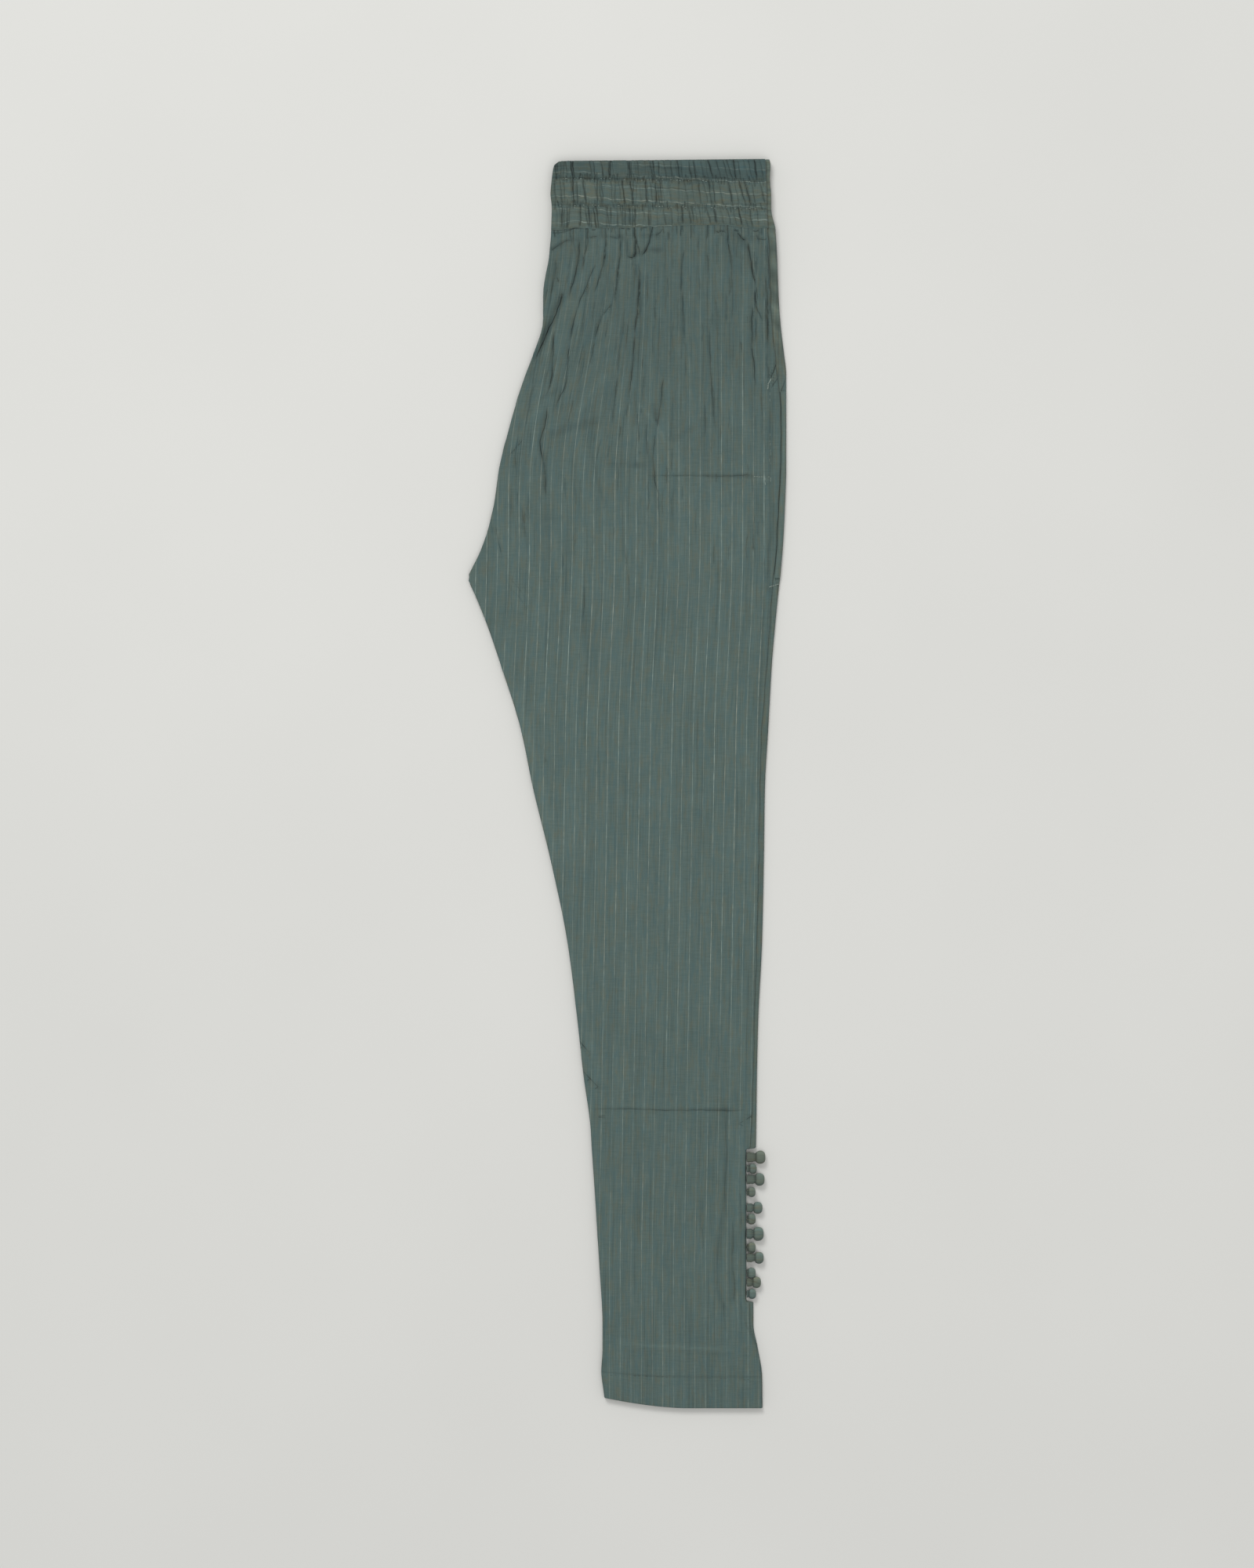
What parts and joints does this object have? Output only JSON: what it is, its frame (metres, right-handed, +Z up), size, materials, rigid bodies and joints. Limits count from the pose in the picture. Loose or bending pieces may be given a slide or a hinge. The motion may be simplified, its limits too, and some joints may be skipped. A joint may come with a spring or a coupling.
{
  "type": "folded straight pants",
  "caption": "Straight pin-striped cotton pants with an elastic waist and ball-buttoned ankles, folded in half lengthwise and laid flat.",
  "frame": {"origin": "centre of the folded garment's footprint, on the surface that it lies on", "axes": "+X towards the side seams, +Y towards the waist, +Z up from the surface"},
  "size_m": [0.252, 0.9876, 0.0136],
  "materials": {
    "striped_cotton": "matte woven cotton, grey-green with pale slub pin stripes along the legs",
    "gathered_waistband": "matte woven cotton cut crosswise and shirred on elastic in three channels",
    "covered_button": "matte cotton pulled tight over a ball"
  },
  "bodies": {
    "root": {"left_front_panel": "striped_cotton", "folded_back_panels": "striped_cotton", "right_front_panel": "striped_cotton", "left_pocket_facing": "striped_cotton", "right_pocket_facing": "striped_cotton", "left_front_waistband": "gathered_waistband", "folded_back_waistband": "gathered_waistband", "right_front_waistband": "gathered_waistband", "left_ankle_button_1": "covered_button", "left_ankle_button_2": "covered_button", "left_ankle_button_3": "covered_button", "left_ankle_button_4": "covered_button", "left_ankle_button_5": "covered_button", "left_ankle_button_6": "covered_button", "right_ankle_button_1": "covered_button", "right_ankle_button_2": "covered_button", "right_ankle_button_3": "covered_button", "right_ankle_button_4": "covered_button", "right_ankle_button_5": "covered_button", "right_ankle_button_6": "covered_button"}
  },
  "joints": []
}
